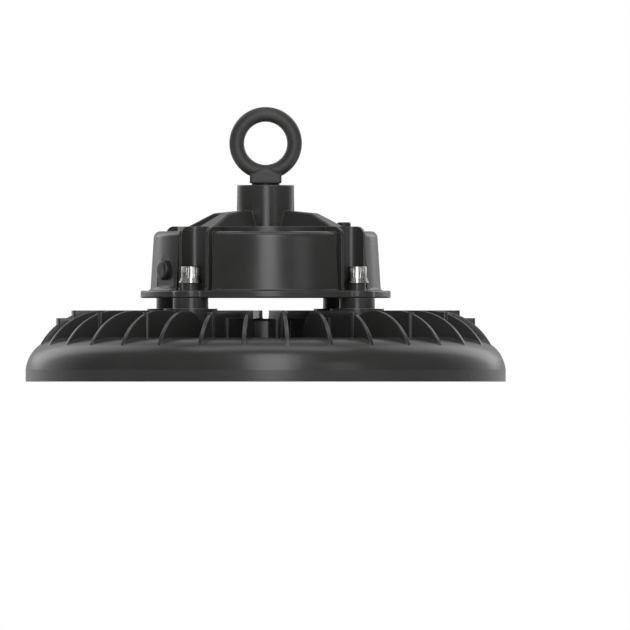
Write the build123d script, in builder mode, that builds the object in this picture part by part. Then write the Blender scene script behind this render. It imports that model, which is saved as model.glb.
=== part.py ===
from build123d import *
import os
from math import cos, radians, sin, sqrt

os.makedirs("parts", exist_ok=True)

# High bay light: a finned cast heat sink with a smooth rim, a driver housing on four legs above it
# and a lifting ring on top. Millimetres, +Z up. The origin is the centre of the rim's lower edge, on
# which the light stands. The lifting ring lies in the XZ plane, and the castings under it are turned
# by half a fin pitch, as the ring stops when it is tight.

# Rim and plate of the heat sink
rim_diameter = 250.0
rim_wall = 3.5
skirt_height = 6.1
plate_top = 22.8
plate_thickness = 6.0
shoulder_width = 18.2
seat_height = 7.0
seat_width = 9.5

# Fins
fin_count = 32
fin_top = 37.1
fin_foot_inset = 6.5
fin_reach = 30.2
short_fin_reach = 21.8
fin_root_thickness = 2.5
fin_tip_thickness = 1.7
fin_edge_round = 0.4
ejector_pad_radius = 2.1
ejector_pad_inset = 9.0
ejector_pad_rise = 0.3
foot_rib_thickness = 3.6
foot_rib_top = 33.1
foot_rib_start = 32.0
foot_rib_end = 73.0

# Hub and side bosses of the heat sink
hub_radius = 29.5
hub_wall = 8.0
hub_top = 32.8
hub_chamfer = 1.2
side_boss_width = 12.0
side_boss_overlap = 6.3
side_step_inset = 15.9
side_step_top = 33.1
side_step_length = 8.0
side_boss_round = 1.2
side_hole_inset = 3.8
side_hole_radius = 1.65
side_hole_depth = 9.0

# Legs, and the screws that go down into them
bolt_circle_radius = 61.6
leg_radius = 9.2
leg_draft = 1.0
leg_gap_height = 6.4
leg_collar_radius = 14.0
leg_collar_rise = 0.9
screw_radius = 3.0
screw_length = 25.0
screw_head_radius = 5.0
screw_head_height = 6.0
screw_head_chamfer = 0.5
hex_key_width = 5.0
hex_key_depth = 3.2
spring_washer_height = 1.4
spring_washer_radius = 5.4
spring_washer_slit = 1.2
flat_washer_height = 1.0
flat_washer_radius = 6.0

# Driver housing
flange_radius = 65.1
flange_thickness = 3.9
flange_round = 0.9
lug_blend = 3.0
drum_height = 30.9
panel_foot_radius = 59.9
panel_top_radius = 58.3
panel_round = 3.5
panel_cove = 1.6
groove_floor_radius = 56.5
groove_width = 2.16
pilaster_half_width = 9.88
pilaster_radius = 60.0
pilaster_round = 5.0
pilaster_cove = 2.4
pilaster_depth = 11.4
disc_radius = 45.8
disc_rise = 2.5
bridge_half_width = 6.1
well_radius = 8.0
well_place = 57.7
well_wall = 1.8
seat_stub_radius = 4.6
seat_stub_height = 4.1
cavity_radius = 53.5
cavity_ceiling = 3.0

# Boss and arms on top of the housing
boss_radius_top = 14.8
boss_radius_foot = 15.2
boss_height = 21.6
boss_round = 0.6
arm_rise_inner = 8.3
arm_rise_outer = 6.9
arm_shoulder_radius = 33.0
arm_end_radius = 48.5
arm_foot_half_width = 5.2
arm_top_half_width = 2.7
arm_round = 1.4
arm_bend_round = 6.0

# Lifting ring
ring_section_radius = 3.85
ring_middle_radius = 15.05
ring_centre_rise = 20.9
collar_width = 16.6
collar_height = 5.8
collar_corner = 1.5
collar_top_slope = 0.45
shank_radius = 5.0
shank_length = 20.0
ring_washer_height = 0.8
ring_washer_inset = 1.0
locking_screw_radius = 2.5
locking_screw_length = 7.0
locking_screw_height = 12.0
locking_key_width = 2.5

# Vent plug in the left panel, angle from the castings' own +X
vent_angle = 201.9
vent_height = 10.5
vent_head_radius = 5.2
vent_dome_height = 2.4
vent_head_rim = 0.8
vent_stem_radius = 3.2
vent_stem_length = 8.6
vent_seal_height = 0.6
vent_seal_radius = 4.9
vent_flat_width = 18.0
vent_flat_depth = 1.1
vent_flat_taper = 40
vent_flat_height = 20.1

# Blanking plug on the shelf
blank_angle = 29.0
blank_place = 49.5
blank_radius = 3.6
blank_height = 4.7
blank_round = 1.0
blank_stem_radius = 2.4
blank_stem_length = 5.0

# Cable gland in the back panel
gland_angle = 90.0
gland_height = 17.5
gland_boss_radius = 12.2
gland_boss_stand = 0.9
gland_shank_radius = 8.0
gland_shank_length = 10.0
gland_flange_width = 20.0
gland_flange_thickness = 5.0
gland_neck_radius = 7.6
gland_neck_length = 8.0
gland_bore_radius = 5.4
gland_nut_width = 19.0
gland_nut_length = 12.0
gland_dome_length = 4.0
gland_dome_taper = 20
gland_lip = 3.0
gland_mouth_radius = 4.6
gland_seal_start = 3.0
cable_bore_radius = 3.7

# Base cover of the housing
recess_radius = 59.0
cover_thickness = 2.0
base_gasket_height = 0.8
base_gasket_land = 2.3
cover_screw_place = 50.2
cover_screw_angle = 72.0
cover_boss_radius = 4.2
cover_screw_radius = 1.5
cover_screw_length = 10.0
cover_screw_head_radius = 2.9
cross_slot_length = 3.0
cross_slot_width = 0.6
cross_slot_depth = 0.8

# Driver
board_radius = 43.5
board_thickness = 1.6
spacer_height = 7.0
spacer_radius = 2.75
spacer_place = 38.5
board_screw_radius = 1.45
board_screw_length = 5.0
board_screw_head_radius = 2.75
board_screw_head_height = 1.7
transformer_place = (0.0, 2.0)
core_length = 30.0
core_depth = 12.0
core_height = 17.0
core_leg = 5.5
core_yoke = 4.0
coil_wall = 4.8
choke_place = (26.0, -12.0)
choke_radius = 9.0
choke_hole_radius = 3.6
choke_height = 9.0
choke_round = 2.2
can_places = ((-24.0, 16.0), (-24.0, -16.0))
can_radius = 6.25
can_height = 19.0
can_round = 0.8
film_place = (18.0, 18.0)
film_length = 18.0
film_depth = 8.0
film_height = 13.0
block_place = (-2.6, 31.4)
block_length = 15.0
block_depth = 8.0
block_height = 10.0
block_hole_radius = 1.8
block_hole_spacing = 5.0
block_hole_depth = 6.0
spreader_place = (0.0, -30.5)
spreader_length = 24.0
spreader_thickness = 3.0
spreader_height = 15.0
transistor_spacing = 12.0
transistor_width = 9.0
transistor_thickness = 3.4
transistor_height = 11.0

# Way of the output leads
lead_place = 40.0
lead_boss_radius = 8.0
lead_boss_top = 34.0
sleeve_radius = 4.5
sleeve_bore_radius = 2.8
sleeve_collar_radius = 6.4
sleeve_collar_height = 1.4
lead_radius = 0.95
lead_spacing = 2.6

# Light engine and lens
pad_thickness = 0.5
led_board_gap = 6.0
led_board_thickness = 1.6
chip_width = 3.5
chip_height = 0.7
first_ring_radius = 24.0
ring_pitch = 22.0
first_ring_count = 8
led_screw_inset = 4.5
led_screw_count = 8
led_screw_radius = 1.45
led_screw_length = 6.0
led_screw_head_radius = 2.6
led_screw_head_height = 1.6
lens_thickness = 2.4
lens_chip_gap = 1.2
lens_wall_gap = 3.0
lens_wall_slope = 4.0
dome_radius = 6.5
dome_height = 4.4
lens_ring_thickness = 1.5
lens_ring_lip = 0.5
lens_screw_inset = 3.4
lens_screw_count = 8
lens_screw_radius = 1.45
lens_screw_length = 9.0
lens_screw_head_radius = 2.7
lens_screw_head_height = 1.6
gasket_inset = 1.2
gasket_width = 2.8
gasket_groove_depth = 1.2

# Clearances
side_gap = 0.1
screw_gap = 0.3
seat_gap = 0.1

# Sizes worked out from those above
rim_radius = rim_diameter / 2
plate_bottom = plate_top - plate_thickness
fin_pitch = 360 / fin_count
turn = fin_pitch / 2
skirt_inner_radius = rim_radius - rim_wall
light_cavity_radius = skirt_inner_radius - seat_width
fin_root = plate_bottom + plate_thickness / 5
fin_foot_radius = rim_radius - fin_foot_inset
fin_crest_radius = fin_foot_radius - fin_reach
short_fin_inner_radius = fin_crest_radius - short_fin_reach
ejector_pad_place = fin_crest_radius + ejector_pad_inset
side_boss_inner = fin_crest_radius - side_boss_overlap
side_step_radius = rim_radius - side_step_inset
side_head_radius = side_step_radius - side_step_length
side_hole_place = side_step_radius - side_hole_inset
collar_top = fin_top + leg_collar_rise
flange_bottom = fin_top + leg_gap_height
flange_top = flange_bottom + flange_thickness
drum_top = flange_top + drum_height
disc_top = drum_top + disc_rise
boss_top = disc_top + boss_height
stub_top = flange_top + seat_stub_height
head_bottom = stub_top + flat_washer_height + spring_washer_height
tapped_radius = screw_radius + side_gap
clear_radius = screw_radius + screw_gap
cover_seat = flange_bottom + cover_thickness + base_gasket_height
recess_scallop_radius = leg_radius + screw_gap
cover_top = flange_bottom + cover_thickness
cavity_top = drum_top - cavity_ceiling
board_bottom = cover_top + spacer_height
board_top = board_bottom + board_thickness
led_board_bottom = plate_bottom - pad_thickness - led_board_thickness
chip_bottom = led_board_bottom - chip_height
lens_top = chip_bottom - lens_chip_gap
lens_bottom = lens_top - lens_thickness
lens_flange_top = seat_height - seat_gap
lens_flange_bottom = lens_flange_top - lens_thickness
lens_ring_bottom = lens_flange_bottom - lens_ring_thickness
lens_edge = skirt_inner_radius - screw_gap
lens_wall_radius = light_cavity_radius - lens_wall_gap
lens_ring_inner = light_cavity_radius - lens_ring_lip
lens_screw_place = skirt_inner_radius - lens_screw_inset
gasket_inner = light_cavity_radius + gasket_inset
led_board_radius = light_cavity_radius - led_board_gap
led_screw_place = led_board_radius - led_screw_inset
ring_room = lens_wall_radius - lens_wall_slope - lens_thickness / 2 - dome_radius - first_ring_radius
rings = [(first_ring_radius + ring_pitch * k, first_ring_count * (k + 1))
         for k in range(int(ring_room / ring_pitch) + 1)]
led_board_top = led_board_bottom + led_board_thickness
panel_reach = max(panel_foot_radius, panel_top_radius)
gland_boss_reach = panel_reach + gland_boss_stand
vent_face_radius = panel_foot_radius - vent_flat_depth
vent_flat_reach = panel_reach + vent_flat_depth
vent_seat = vent_face_radius + vent_seal_height
collar_bottom = boss_top + ring_washer_height
ring_centre = collar_bottom + ring_centre_rise
gland_neck_end = gland_flange_thickness + gland_neck_length
nut_start = gland_flange_thickness + seat_gap
nut_end = nut_start + gland_nut_length
gland_seal_end = nut_end + gland_dome_length - gland_lip

# The castings' own directions: the XY plane turned by half a fin pitch
turned = Plane.XY.rotated((0, 0, turn))


def facing(angle, radius, height):
    """The upright plane that faces straight out from the axis, with its own Y pointing up."""
    around = radians(turn + angle)
    out = Vector(cos(around), sin(around), 0)
    along = Vector(-sin(around), cos(around), 0)
    return Plane(origin=out * radius + Vector(0, 0, height), x_dir=along, z_dir=out)


fin_height = fin_top - fin_root
fin_arc_radius = (fin_reach ** 2 + fin_height ** 2) / (2 * fin_height)


def fin_section():
    """Draws the upright section that every fin is trimmed to, thick at its root and thin at its tip."""
    root = fin_root_thickness / 2
    tip = fin_tip_thickness / 2
    with BuildSketch(Plane.YZ) as section:
        with BuildLine():
            Polyline((-root, fin_root), (root, fin_root), (tip, fin_top), (-tip, fin_top), close=True)
        make_face()
    return section.sketch


# One long fin, from the hub to the shoulder of the rim
with BuildPart() as long_fin:
    with BuildSketch(Plane.XZ):
        with BuildLine():
            fin_start = hub_radius - hub_wall / 2
            top = Line((fin_start, fin_top), (fin_crest_radius, fin_top))
            outer = TangentArc(top @ 1, (fin_foot_radius, fin_root), tangent=(1, 0))
            Polyline(outer @ 1, (fin_start, fin_root), top @ 0)
        make_face()
    extrude(amount=fin_root_thickness, both=True)
    extrude(fin_section(), amount=rim_radius, mode=Mode.INTERSECT)
    long_edges = long_fin.edges().filter_by(lambda e: e.length > fin_reach)
    fillet(long_edges.filter_by(lambda e: e.center().Z > fin_root + fin_edge_round), radius=fin_edge_round)

# One short fin, an arch that stands free of the hub
with BuildPart() as short_fin:
    with BuildSketch(Plane.XZ):
        with BuildLine():
            crest = (fin_crest_radius, fin_top)
            inner = TangentArc(crest, (short_fin_inner_radius, fin_root), tangent=(-1, 0))
            outer = TangentArc(crest, (fin_foot_radius, fin_root), tangent=(1, 0))
            Line(inner @ 1, outer @ 1)
        make_face()
    extrude(amount=fin_root_thickness, both=True)
    extrude(fin_section(), amount=rim_radius, mode=Mode.INTERSECT)
    long_edges = short_fin.edges().filter_by(lambda e: e.length > short_fin_reach)
    fillet(long_edges.filter_by(lambda e: e.center().Z > fin_root + fin_edge_round), radius=fin_edge_round)

# One stepped side boss
with BuildPart() as side_boss:
    with BuildSketch(Plane.XZ):
        with BuildLine():
            Polyline((side_boss_inner, fin_root), (side_step_radius, fin_root),
                     (side_step_radius, side_step_top), (side_head_radius, side_step_top),
                     (side_head_radius, fin_top), (side_boss_inner, fin_top), close=True)
        make_face()
        fillet(vertices().filter_by(lambda v: abs(v.X - side_head_radius) < 0.01).sort_by(Axis.Y)[0],
               radius=side_boss_round)
    extrude(amount=side_boss_width / 2, both=True)
    upright_edges = side_boss.edges().filter_by(Axis.Z)
    fillet(upright_edges.filter_by(lambda e: e.center().X > side_boss_inner + 1), radius=side_boss_round)

# The heat sink: rim, plate, hub, fins, side bosses and legs in one casting
pad_arc_drop = fin_arc_radius - sqrt(fin_arc_radius ** 2 - (ejector_pad_place - fin_crest_radius) ** 2)
pad_top = fin_top - pad_arc_drop + ejector_pad_rise
leg_hole_depth = flange_bottom - (head_bottom - screw_length) + screw_radius / 2
with BuildPart(turned) as heat_sink:
    with BuildSketch(Plane.XZ):
        with BuildLine():
            plate = Line((0, plate_top), (rim_radius - shoulder_width, plate_top))
            shoulder = TangentArc(plate @ 1, (rim_radius, skirt_height), tangent=(1, 0))
            Polyline(shoulder @ 1, (rim_radius, 0), (skirt_inner_radius, 0),
                     (skirt_inner_radius, seat_height), (light_cavity_radius, seat_height),
                     (light_cavity_radius, plate_bottom), (0, plate_bottom), plate @ 0)
        make_face()
        with BuildLine():
            Polyline((hub_radius - hub_wall, fin_root), (hub_radius, fin_root),
                     (hub_radius, hub_top - hub_chamfer), (hub_radius - hub_chamfer, hub_top),
                     (hub_radius - hub_wall, hub_top), close=True)
        make_face()
    revolve(axis=Axis.Z)
    with PolarLocations(0, fin_count // 2):
        add(long_fin.part)
        with Locations((foot_rib_start, 0, fin_root)):
            Box(foot_rib_end - foot_rib_start, foot_rib_thickness, foot_rib_top - fin_root,
                align=(Align.MIN, Align.CENTER, Align.MIN))
        with Locations((ejector_pad_place, 0, fin_root)):
            Cylinder(ejector_pad_radius, pad_top - fin_root, align=(Align.CENTER, Align.CENTER, Align.MIN))
    with PolarLocations(0, fin_count // 2, start_angle=fin_pitch):
        add(short_fin.part)
    with PolarLocations(0, 2):
        add(side_boss.part)
    with BuildSketch(turned.offset(fin_root)):
        with PolarLocations(bolt_circle_radius, 4, start_angle=45):
            Circle(leg_collar_radius)
    extrude(amount=collar_top - fin_root)
    with BuildSketch(turned.offset(flange_bottom)):
        with PolarLocations(bolt_circle_radius, 4, start_angle=45):
            Circle(leg_radius)
    extrude(amount=-(flange_bottom - fin_root), taper=-leg_draft)
    with BuildSketch(turned.offset(fin_root)):
        with Locations((-lead_place, 0)):
            Circle(lead_boss_radius)
    extrude(amount=lead_boss_top - fin_root)
    with BuildSketch(turned.offset(fin_top)):
        with Locations((-lead_place, 0)):
            Circle(sleeve_radius + side_gap)
    extrude(amount=-(fin_top - plate_bottom), mode=Mode.SUBTRACT)
    with BuildSketch(turned.offset(flange_bottom)):
        with PolarLocations(bolt_circle_radius, 4, start_angle=45):
            Circle(tapped_radius)
    extrude(amount=-leg_hole_depth, mode=Mode.SUBTRACT)
    with BuildSketch(turned.offset(side_step_top)):
        with PolarLocations(side_hole_place, 2):
            Circle(side_hole_radius)
    extrude(amount=-side_hole_depth, mode=Mode.SUBTRACT)
    with BuildSketch(turned.offset(seat_height)):
        Circle(gasket_inner + gasket_width + side_gap)
        Circle(gasket_inner - side_gap, mode=Mode.SUBTRACT)
    extrude(amount=gasket_groove_depth, mode=Mode.SUBTRACT)
    with BuildSketch(turned.offset(seat_height)):
        with PolarLocations(lens_screw_place, lens_screw_count):
            Circle(lens_screw_radius + side_gap)
    extrude(amount=lens_screw_length, mode=Mode.SUBTRACT)
    with BuildSketch(turned.offset(plate_bottom)):
        with PolarLocations(led_screw_place, led_screw_count):
            Circle(led_screw_radius + side_gap)
    extrude(amount=led_screw_length - led_board_thickness, mode=Mode.SUBTRACT)
heat_sink.part.label = "heat_sink"
export_step(heat_sink.part, "parts/heat_sink.step")

# The flange of the housing with its four lugs, which cover the legs
with BuildPart() as flange:
    with BuildSketch(Plane.XY.offset(flange_bottom)):
        Circle(flange_radius)
        with PolarLocations(bolt_circle_radius, 4, start_angle=45):
            Circle(leg_radius)
        fillet(vertices(), radius=lug_blend)
    extrude(amount=flange_thickness)
    fillet(flange.edges().group_by(Axis.Z)[0] + flange.edges().group_by(Axis.Z)[-1], radius=flange_round)

# The four pilasters that hold the screw wells
with BuildPart() as pilasters:
    with BuildSketch(Plane.XZ):
        with BuildLine():
            top = Line((disc_radius, disc_top), (pilaster_radius - pilaster_round, disc_top))
            corner = TangentArc(top @ 1, (pilaster_radius, disc_top - pilaster_round), tangent=(1, 0))
            side = Line(corner @ 1, (pilaster_radius, flange_top + pilaster_cove))
            cove = TangentArc(side @ 1, (pilaster_radius + pilaster_cove, flange_top), tangent=(0, -1))
            Polyline(cove @ 1, (disc_radius, flange_top), top @ 0)
        make_face()
    revolve(axis=Axis.Z)
    with BuildSketch(Plane.XY.offset(flange_top)):
        with PolarLocations(pilaster_radius, 4, start_angle=45):
            Rectangle(pilaster_depth * 2, pilaster_half_width * 2)
    extrude(amount=disc_top - flange_top, mode=Mode.INTERSECT)

# One arm between the boss and a pilaster, drafted on its sides
with BuildPart() as arm:
    with BuildSketch(Plane.YZ):
        with BuildLine():
            Polyline((-arm_foot_half_width, disc_top), (arm_foot_half_width, disc_top),
                     (arm_top_half_width, disc_top + arm_rise_inner),
                     (-arm_top_half_width, disc_top + arm_rise_inner), close=True)
        make_face()
    extrude(amount=arm_end_radius)
    with BuildSketch(Plane.XZ):
        with BuildLine():
            Polyline((0, disc_top), (arm_end_radius, disc_top),
                     (arm_shoulder_radius, disc_top + arm_rise_outer),
                     (boss_radius_top, disc_top + arm_rise_inner), (0, disc_top + arm_rise_inner), close=True)
        make_face()
        fillet(vertices().filter_by(lambda v: abs(v.X - arm_shoulder_radius) < 0.01), radius=arm_bend_round)
    extrude(amount=arm_foot_half_width, both=True, mode=Mode.INTERSECT)
    side_edges = arm.edges().filter_by(lambda e: abs(e.center().Y) > arm_top_half_width / 2)
    long_edges = side_edges.filter_by(lambda e: e.center().X > boss_radius_top + arm_round)
    fillet(long_edges.filter_by(lambda e: e.center().Z > disc_top + arm_round), radius=arm_round)

# Inside outline of the housing, which leaves a wall round each screw well
with BuildSketch() as cavity_outline:
    Circle(cavity_radius)
    with PolarLocations(bolt_circle_radius, 4, start_angle=45):
        Circle(recess_scallop_radius + base_gasket_land, mode=Mode.SUBTRACT)
    with PolarLocations(well_place, 4, start_angle=45):
        Circle(well_radius + well_wall, mode=Mode.SUBTRACT)

# Outline of the recess that the base cover and its gasket lie in
with BuildSketch() as recess_outline:
    Circle(recess_radius)
    with PolarLocations(bolt_circle_radius, 4, start_angle=45):
        Circle(recess_scallop_radius, mode=Mode.SUBTRACT)

# The driver housing
with BuildPart(turned) as driver_housing:
    with BuildSketch(Plane.XZ):
        with BuildLine():
            top = Line((0, drum_top), (panel_top_radius - panel_round, drum_top))
            corner = TangentArc(top @ 1, (panel_top_radius, drum_top - panel_round), tangent=(1, 0))
            side = Line(corner @ 1, (panel_foot_radius, flange_top + panel_cove))
            cove = TangentArc(side @ 1, (panel_foot_radius + panel_cove, flange_top), tangent=(0, -1))
            Polyline(cove @ 1, (0, flange_top), top @ 0)
        make_face()
    revolve(axis=Axis.Z)
    with BuildSketch(facing(vent_angle, vent_face_radius, flange_top)):
        with Locations((0, vent_flat_height / 2 + panel_cove)):
            Rectangle(vent_flat_width, vent_flat_height - panel_cove)
    extrude(amount=vent_flat_reach - vent_face_radius, taper=-vent_flat_taper, mode=Mode.SUBTRACT)
    with BuildSketch(facing(gland_angle, cavity_radius, flange_top + gland_height)):
        Circle(gland_boss_radius)
    extrude(amount=gland_boss_reach - cavity_radius)
    with BuildSketch(turned.offset(flange_top)):
        with PolarLocations(pilaster_radius, 4, start_angle=45):
            Rectangle(pilaster_depth * 2, (pilaster_half_width + groove_width) * 2)
        Circle(groove_floor_radius, mode=Mode.SUBTRACT)
    extrude(amount=drum_height, mode=Mode.SUBTRACT)
    add(flange.part)
    add(pilasters.part)
    with BuildSketch(turned.offset(drum_top - cavity_ceiling / 2)):
        Circle(disc_radius)
        Rectangle((disc_radius + bridge_half_width) * 2, bridge_half_width * 2, rotation=45)
        Rectangle((disc_radius + bridge_half_width) * 2, bridge_half_width * 2, rotation=-45)
    extrude(amount=disc_rise + cavity_ceiling / 2)
    with Locations((0, 0, disc_top)):
        Cone(boss_radius_foot, boss_radius_top, boss_height, align=(Align.CENTER, Align.CENTER, Align.MIN))
    fillet(driver_housing.edges().sort_by(Axis.Z)[-1], radius=boss_round)
    with PolarLocations(0, 4, start_angle=45):
        add(arm.part)
    with BuildSketch(turned.offset(flange_top)):
        with PolarLocations(well_place, 4, start_angle=45):
            Circle(well_radius)
            Rectangle(pilaster_depth, well_radius * 2, align=(Align.MIN, Align.CENTER))
    extrude(amount=disc_top - flange_top, mode=Mode.SUBTRACT)
    with BuildSketch(turned.offset(flange_top)):
        with PolarLocations(bolt_circle_radius, 4, start_angle=45):
            Circle(seat_stub_radius)
    extrude(amount=seat_stub_height)
    with BuildSketch(turned.offset(cover_seat)):
        add(cavity_outline.sketch)
    extrude(amount=cavity_top - cover_seat, mode=Mode.SUBTRACT)
    with BuildSketch(turned.offset(flange_bottom)):
        add(recess_outline.sketch)
    extrude(amount=cover_seat - flange_bottom, mode=Mode.SUBTRACT)
    with BuildSketch(turned.offset(cover_seat)):
        with PolarLocations(cover_screw_place, 4, start_angle=cover_screw_angle):
            Circle(cover_boss_radius)
    extrude(amount=cavity_top - cover_seat)
    with BuildSketch(turned.offset(cover_seat)):
        with PolarLocations(cover_screw_place, 4, start_angle=cover_screw_angle):
            Circle(cover_screw_radius + side_gap)
    extrude(amount=cover_screw_length, mode=Mode.SUBTRACT)
    with BuildSketch(turned.offset(flange_bottom)):
        with PolarLocations(bolt_circle_radius, 4, start_angle=45):
            Circle(clear_radius)
    extrude(amount=stub_top - flange_bottom, mode=Mode.SUBTRACT)
    with BuildSketch(turned.offset(boss_top)):
        Circle(shank_radius + side_gap)
    extrude(amount=-shank_length, mode=Mode.SUBTRACT)
    with BuildSketch(facing(gland_angle, shank_radius, disc_top + locking_screw_height)):
        Circle(locking_screw_radius + side_gap)
    extrude(amount=boss_radius_foot, mode=Mode.SUBTRACT)
    with BuildSketch(facing(vent_angle, vent_face_radius, flange_top + vent_height)):
        Circle(vent_stem_radius + side_gap)
    extrude(amount=-vent_stem_length, mode=Mode.SUBTRACT)
    with BuildSketch(facing(gland_angle, gland_boss_reach, flange_top + gland_height)):
        Circle(gland_shank_radius + side_gap)
    extrude(amount=-gland_shank_length, mode=Mode.SUBTRACT)
    with BuildSketch(turned.offset(drum_top)):
        with PolarLocations(blank_place, 1, start_angle=blank_angle):
            Circle(blank_stem_radius + side_gap)
    extrude(amount=-cavity_ceiling, mode=Mode.SUBTRACT)
driver_housing.part.label = "driver_housing"
export_step(driver_housing.part, "parts/driver_housing.step")

# The lifting ring: a round ring, a square collar with a coned top, and a shank that screws into the boss
collar_reach = collar_width / sqrt(2)
cone_edge = collar_bottom + collar_height
cone_rise = collar_top_slope * (collar_width / 2 - ring_section_radius)
cone_drop = collar_top_slope * (collar_reach - collar_width / 2)
with BuildPart() as lifting_ring:
    with BuildSketch(Plane.XY.offset(collar_bottom)):
        RectangleRounded(collar_width, collar_width, collar_corner)
    extrude(amount=collar_height + cone_rise)
    fillet(lifting_ring.edges().group_by(Axis.Z)[0], radius=collar_corner / 2)
    with BuildSketch(Plane.XZ):
        with BuildLine():
            Polyline((0, collar_bottom), (collar_reach, collar_bottom), (collar_reach, cone_edge - cone_drop),
                     (ring_section_radius, cone_edge + cone_rise), (0, cone_edge + cone_rise), close=True)
        make_face()
    revolve(axis=Axis.Z, mode=Mode.INTERSECT)
    with Locations((0, 0, ring_centre)):
        Torus(ring_middle_radius, ring_section_radius, rotation=(90, 0, 0))
    with Locations((0, 0, collar_bottom)):
        Cylinder(shank_radius, shank_length, align=(Align.CENTER, Align.CENTER, Align.MAX))
lifting_ring.part.label = "lifting_ring"
export_step(lifting_ring.part, "parts/lifting_ring.step")

with BuildPart() as ring_washer:
    with BuildSketch(Plane.XY.offset(boss_top)):
        Circle(collar_width / 2 - ring_washer_inset)
        Circle(shank_radius + side_gap, mode=Mode.SUBTRACT)
    extrude(amount=ring_washer_height)
ring_washer.part.label = "ring_washer"
export_step(ring_washer.part, "parts/ring_washer.step")

with BuildPart() as locking_screw:
    with BuildSketch(facing(gland_angle, shank_radius + seat_gap, disc_top + locking_screw_height)):
        Circle(locking_screw_radius)
    extrude(amount=locking_screw_length)
    with BuildSketch(facing(gland_angle, shank_radius + seat_gap + locking_screw_length,
                            disc_top + locking_screw_height)):
        RegularPolygon(locking_key_width / 2, 6, major_radius=False)
    extrude(amount=-locking_screw_radius, mode=Mode.SUBTRACT)
locking_screw.part.label = "locking_screw"
export_step(locking_screw.part, "parts/locking_screw.step")

# The four screws that hold the housing on the legs, each with a spring washer and a flat washer
with BuildPart(turned) as housing_screws:
    with BuildSketch(turned.offset(head_bottom)):
        with PolarLocations(bolt_circle_radius, 4, start_angle=45):
            Circle(screw_head_radius)
    extrude(amount=screw_head_height)
    chamfer(housing_screws.edges().group_by(Axis.Z)[-1], length=screw_head_chamfer)
    with BuildSketch(turned.offset(head_bottom + screw_head_height)):
        with PolarLocations(bolt_circle_radius, 4, start_angle=45):
            RegularPolygon(hex_key_width / 2, 6, major_radius=False)
    extrude(amount=-hex_key_depth, mode=Mode.SUBTRACT)
    with BuildSketch(turned.offset(head_bottom)):
        with PolarLocations(bolt_circle_radius, 4, start_angle=45):
            Circle(screw_radius)
    extrude(amount=-screw_length)
housing_screws.part.label = "housing_screws"
export_step(housing_screws.part, "parts/housing_screws.step")

with BuildPart(turned) as spring_washers:
    with BuildSketch(turned.offset(stub_top + flat_washer_height)):
        with PolarLocations(bolt_circle_radius, 4, start_angle=45):
            Circle(spring_washer_radius)
            Circle(screw_radius + side_gap, mode=Mode.SUBTRACT)
            Rectangle(flat_washer_radius, spring_washer_slit, align=(Align.MAX, Align.CENTER),
                      mode=Mode.SUBTRACT)
    extrude(amount=spring_washer_height)
spring_washers.part.label = "spring_washers"
export_step(spring_washers.part, "parts/spring_washers.step")

with BuildPart(turned) as flat_washers:
    with BuildSketch(turned.offset(stub_top)):
        with PolarLocations(bolt_circle_radius, 4, start_angle=45):
            Circle(flat_washer_radius)
            Circle(clear_radius, mode=Mode.SUBTRACT)
    extrude(amount=flat_washer_height)
flat_washers.part.label = "flat_washers"
export_step(flat_washers.part, "parts/flat_washers.step")

# The domed vent plug and its seal, in the flat spot of the left panel
with BuildPart() as vent_plug:
    with BuildSketch(facing(vent_angle, vent_seat, flange_top + vent_height)):
        Circle(vent_head_radius)
    extrude(amount=vent_dome_height)
    outwards = Axis((0, 0, 0), facing(vent_angle, 0, 0).z_dir)
    fillet(vent_plug.faces().sort_by(outwards)[-1].edges(), radius=vent_dome_height - vent_head_rim)
    with BuildSketch(facing(vent_angle, vent_seat, flange_top + vent_height)):
        Circle(vent_stem_radius)
    extrude(amount=-vent_stem_length)
vent_plug.part.label = "vent_plug"
export_step(vent_plug.part, "parts/vent_plug.step")

with BuildPart() as vent_seal:
    with BuildSketch(facing(vent_angle, vent_face_radius, flange_top + vent_height)):
        Circle(vent_seal_radius)
        Circle(vent_stem_radius + side_gap, mode=Mode.SUBTRACT)
    extrude(amount=vent_seal_height)
vent_seal.part.label = "vent_seal"
export_step(vent_seal.part, "parts/vent_seal.step")

# The blanking plug in the shelf
with BuildPart(turned) as blanking_plug:
    with BuildSketch(turned.offset(drum_top)):
        with PolarLocations(blank_place, 1, start_angle=blank_angle):
            Circle(blank_radius)
    extrude(amount=blank_height)
    fillet(blanking_plug.edges().group_by(Axis.Z)[-1], radius=blank_round)
    with BuildSketch(turned.offset(drum_top)):
        with PolarLocations(blank_place, 1, start_angle=blank_angle):
            Circle(blank_stem_radius)
    extrude(amount=-blank_stem_length)
blanking_plug.part.label = "blanking_plug"
export_step(blanking_plug.part, "parts/blanking_plug.step")


def gland_plane(distance):
    """The plane across the cable gland at a distance out from the face of its boss."""
    return facing(gland_angle, gland_boss_reach + distance, flange_top + gland_height)


# The cable gland: body, cap nut and rubber seal
with BuildPart() as cable_gland_body:
    with BuildSketch(gland_plane(0)):
        RegularPolygon(gland_flange_width / 2, 6, major_radius=False)
    extrude(amount=gland_flange_thickness)
    with BuildSketch(gland_plane(gland_flange_thickness)):
        Circle(gland_neck_radius)
    extrude(amount=gland_neck_length)
    with BuildSketch(gland_plane(0)):
        Circle(gland_shank_radius)
    extrude(amount=-gland_shank_length)
    with BuildSketch(gland_plane(gland_neck_end)):
        Circle(gland_bore_radius)
    extrude(amount=-(gland_neck_end + gland_shank_length), mode=Mode.SUBTRACT)
cable_gland_body.part.label = "cable_gland_body"
export_step(cable_gland_body.part, "parts/cable_gland_body.step")

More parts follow.
